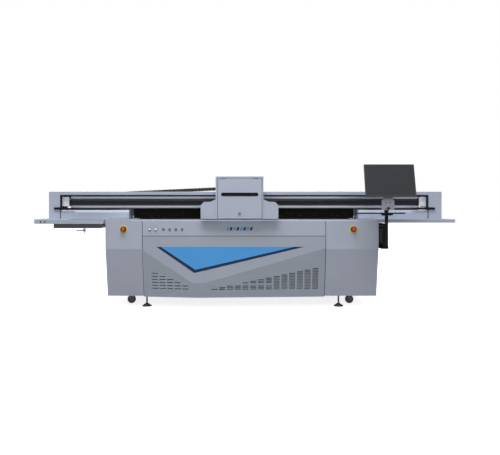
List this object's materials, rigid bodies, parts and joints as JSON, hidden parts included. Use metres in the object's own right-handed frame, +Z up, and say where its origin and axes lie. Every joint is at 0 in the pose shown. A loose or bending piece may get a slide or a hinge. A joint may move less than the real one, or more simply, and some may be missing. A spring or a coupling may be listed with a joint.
{
  "type": "flatbed uv printer",
  "caption": "Flatbed UV printer: cabinet with vacuum table, travelling gantry with side wings, lifting print carriage with UV lamps, monitor arm, feet and casters.",
  "frame": {"origin": "on the floor under the middle of the machine's bounding box, with the gantry at its front rest position", "axes": "+X to the operator's right along the gantry, +Y from the operator to the back, +Z up"},
  "size_m": [4.8, 2.38, 1.6467],
  "materials": {
    "frame_steel": "satin powder coat",
    "cover_paint": "fine textured powder coat",
    "gantry_paint": "fine textured powder coat",
    "carriage_paint": "fine textured powder coat",
    "prow_paint": "fine textured powder coat",
    "table_black": "black anodised",
    "bare_aluminium": "brushed",
    "rail_steel": "ground",
    "box_grey": "powder coat",
    "blower_cast": "painted casting",
    "tank_plastic": "translucent",
    "switch_metal": "plated",
    "black_metal": "satin",
    "zinc_steel": "zinc plated",
    "dark_steel": "satin",
    "wheel_nylon": "moulded",
    "button_grey": "moulded",
    "stop_red": "moulded",
    "arm_silver": "satin",
    "monitor_plastic": "fine texture",
    "belt_rubber": "moulded",
    "cap_rubber": "moulded",
    "curtain_rubber": "matt",
    "chain_plastic": "moulded",
    "head_black": "moulded"
  },
  "bodies": {
    "root": {"base_frame": "frame_steel", "side_front_covers": "cover_paint", "control_strip": "cover_paint", "prow_panel": "prow_paint", "side_panels": "cover_paint", "rear_panel": "cover_paint", "side_decks": "cover_paint", "vacuum_table": "table_black", "table_edge_bars": "bare_aluminium", "y_rails": "rail_steel", "electrical_box": "box_grey", "vacuum_blower": "blower_cast", "ink_tanks": "tank_plastic", "switch_bodies": "switch_metal", "monitor_post": "black_metal", "pc_case": "black_metal", "rear_caster_forks": "zinc_steel"},
    "feet": {"levelling_feet": "dark_steel"},
    "swivel_left": {"caster_fork_left": "zinc_steel"},
    "swivel_right": {"caster_fork_right": "zinc_steel"},
    "wheel_fl": {"wheel_front_left": "wheel_nylon"},
    "wheel_fr": {"wheel_front_right": "wheel_nylon"},
    "wheel_rl": {"wheel_rear_left": "wheel_nylon"},
    "wheel_rr": {"wheel_rear_right": "wheel_nylon"},
    "button_1": {"button_1": "button_grey"},
    "button_2": {"button_2": "button_grey"},
    "button_3": {"button_3": "button_grey"},
    "button_4": {"button_4": "button_grey"},
    "estop_left": {"estop_left": "stop_red"},
    "estop_right": {"estop_right": "stop_red"},
    "keyboard_tray": {"keyboard_tray": "black_metal"},
    "swivel_arm": {"swivel_arm": "arm_silver"},
    "monitor": {"monitor_shell": "monitor_plastic"},
    "gantry": {"gantry_beam": "frame_steel", "gantry_top_cover": "gantry_paint", "gantry_end_blocks": "gantry_paint", "gantry_side_covers": "gantry_paint", "gantry_legs": "frame_steel", "gantry_wings": "gantry_paint", "x_rails": "rail_steel", "x_belt": "belt_rubber", "belt_end_mounts": "bare_aluminium", "waste_tray": "dark_steel", "drain_valve": "switch_metal", "uv_curtain": "curtain_rubber", "chain_tray": "gantry_paint"},
    "drive_pulley": {"drive_pulley": "bare_aluminium"},
    "idler_pulley": {"idler_pulley": "bare_aluminium"},
    "drain_lever": {"drain_lever": "black_metal"},
    "cap_station": {"cap_station": "cap_rubber"},
    "slider": {"x_slider": "bare_aluminium", "cable_chain": "chain_plastic"},
    "chain_bend": {"chain_bend": "chain_plastic"},
    "carriage": {"carriage_frame": "bare_aluminium", "print_heads": "head_black", "sub_tanks": "tank_plastic", "carriage_shell": "carriage_paint", "lamp_housings": "carriage_paint"},
    "front_cover": {"carriage_cover": "carriage_paint"},
    "cam_lock": {"cam_lock": "switch_metal"}
  },
  "joints": [
    {"name": "gantry_travel", "type": "slide", "parent": "root", "child": "gantry", "axis": [0, 1, 0], "range_m": [0, 1.3]},
    {"name": "carriage_travel", "type": "slide", "parent": "gantry", "child": "slider", "axis": [1, 0, 0], "range_m": [-1.78, 1.75], "deforming": ["cable_chain"]},
    {"name": "chain_roll", "type": "slide", "parent": "slider", "child": "chain_bend", "axis": [1, 0, 0], "range_m": [-0.9, 0.9], "deforming": ["chain_bend"]},
    {"name": "carriage_lift", "type": "slide", "parent": "slider", "child": "carriage", "axis": [0, 0, 1], "range_m": [0, 0.1]},
    {"name": "cover_hinge", "type": "hinge", "parent": "carriage", "child": "front_cover", "pos_m": [-0.059, -0.92, 1.498], "axis": [1, 0, 0], "range_deg": [-100, 0]},
    {"name": "cam_lock_turn", "type": "hinge", "parent": "front_cover", "child": "cam_lock", "pos_m": [-0.059, -0.92, 1.099], "axis": [0, 1, 0], "range_deg": [0, 90]},
    {"name": "drive_pulley_spin", "type": "hinge", "parent": "gantry", "child": "drive_pulley", "pos_m": [2.14, -0.488, 1.225], "axis": [0, 0, 1], "range_deg": [-3240, 3190]},
    {"name": "idler_pulley_spin", "type": "hinge", "parent": "gantry", "child": "idler_pulley", "pos_m": [-2.15, -0.488, 1.225], "axis": [0, 0, 1], "range_deg": [-3240, 3190]},
    {"name": "drain_lever_turn", "type": "hinge", "parent": "gantry", "child": "drain_lever", "pos_m": [-1.852, -0.84, 0.903], "axis": [0, 1, 0], "range_deg": [-90, 0]},
    {"name": "cap_lift", "type": "slide", "parent": "gantry", "child": "cap_station", "axis": [0, 0, 1], "range_m": [0, 0.006]},
    {"name": "feet_adjust", "type": "slide", "parent": "root", "child": "feet", "axis": [0, 0, 1], "range_m": [-0.03, 0]},
    {"name": "caster_swivel_left", "type": "hinge", "parent": "root", "child": "swivel_left", "pos_m": [-1.337, -0.5, 0.13], "axis": [0, 0, 1], "continuous": true},
    {"name": "caster_swivel_right", "type": "hinge", "parent": "root", "child": "swivel_right", "pos_m": [1.294, -0.5, 0.13], "axis": [0, 0, 1], "continuous": true},
    {"name": "wheel_spin_fl", "type": "hinge", "parent": "swivel_left", "child": "wheel_fl", "pos_m": [-1.367, -0.5, 0.058], "axis": [0, 1, 0], "continuous": true},
    {"name": "wheel_spin_fr", "type": "hinge", "parent": "swivel_right", "child": "wheel_fr", "pos_m": [1.264, -0.5, 0.058], "axis": [0, 1, 0], "continuous": true},
    {"name": "wheel_spin_rl", "type": "hinge", "parent": "root", "child": "wheel_rl", "pos_m": [-1.367, 0.81, 0.058], "axis": [0, 1, 0], "continuous": true},
    {"name": "wheel_spin_rr", "type": "hinge", "parent": "root", "child": "wheel_rr", "pos_m": [1.264, 0.81, 0.058], "axis": [0, 1, 0], "continuous": true},
    {"name": "button_1_press", "type": "slide", "parent": "root", "child": "button_1", "axis": [0, 1, 0], "range_m": [0, 0.003], "stiffness_N_per_m": 400},
    {"name": "button_2_press", "type": "slide", "parent": "root", "child": "button_2", "axis": [0, 1, 0], "range_m": [0, 0.003], "stiffness_N_per_m": 400},
    {"name": "button_3_press", "type": "slide", "parent": "root", "child": "button_3", "axis": [0, 1, 0], "range_m": [0, 0.003], "stiffness_N_per_m": 400},
    {"name": "button_4_press", "type": "slide", "parent": "root", "child": "button_4", "axis": [0, 1, 0], "range_m": [0, 0.003], "stiffness_N_per_m": 400},
    {"name": "estop_left_press", "type": "slide", "parent": "root", "child": "estop_left", "axis": [0, 1, 0], "range_m": [0, 0.005], "stiffness_N_per_m": 1500},
    {"name": "estop_right_press", "type": "slide", "parent": "root", "child": "estop_right", "axis": [0, 1, 0], "range_m": [0, 0.005], "stiffness_N_per_m": 1500},
    {"name": "tray_fold", "type": "hinge", "parent": "root", "child": "keyboard_tray", "pos_m": [1.6, -0.99, 1.088], "axis": [1, 0, 0], "range_deg": [0, 90]},
    {"name": "monitor_swivel", "type": "hinge", "parent": "root", "child": "swivel_arm", "pos_m": [1.6, -0.961, 1.156], "axis": [0, 0, 1], "range_deg": [-20, 20]},
    {"name": "monitor_tilt", "type": "hinge", "parent": "swivel_arm", "child": "monitor", "pos_m": [1.6, -1.062, 1.466], "axis": [1, 0, 0], "range_deg": [-10, 16]}
  ],
  "couplings": [
    {"joint": "drive_pulley_spin", "follows": "carriage_travel", "rad_per_m": 31.746},
    {"joint": "idler_pulley_spin", "follows": "carriage_travel", "rad_per_m": 31.746},
    {"joint": "chain_roll", "follows": "carriage_travel", "ratio": -0.5}
  ]
}
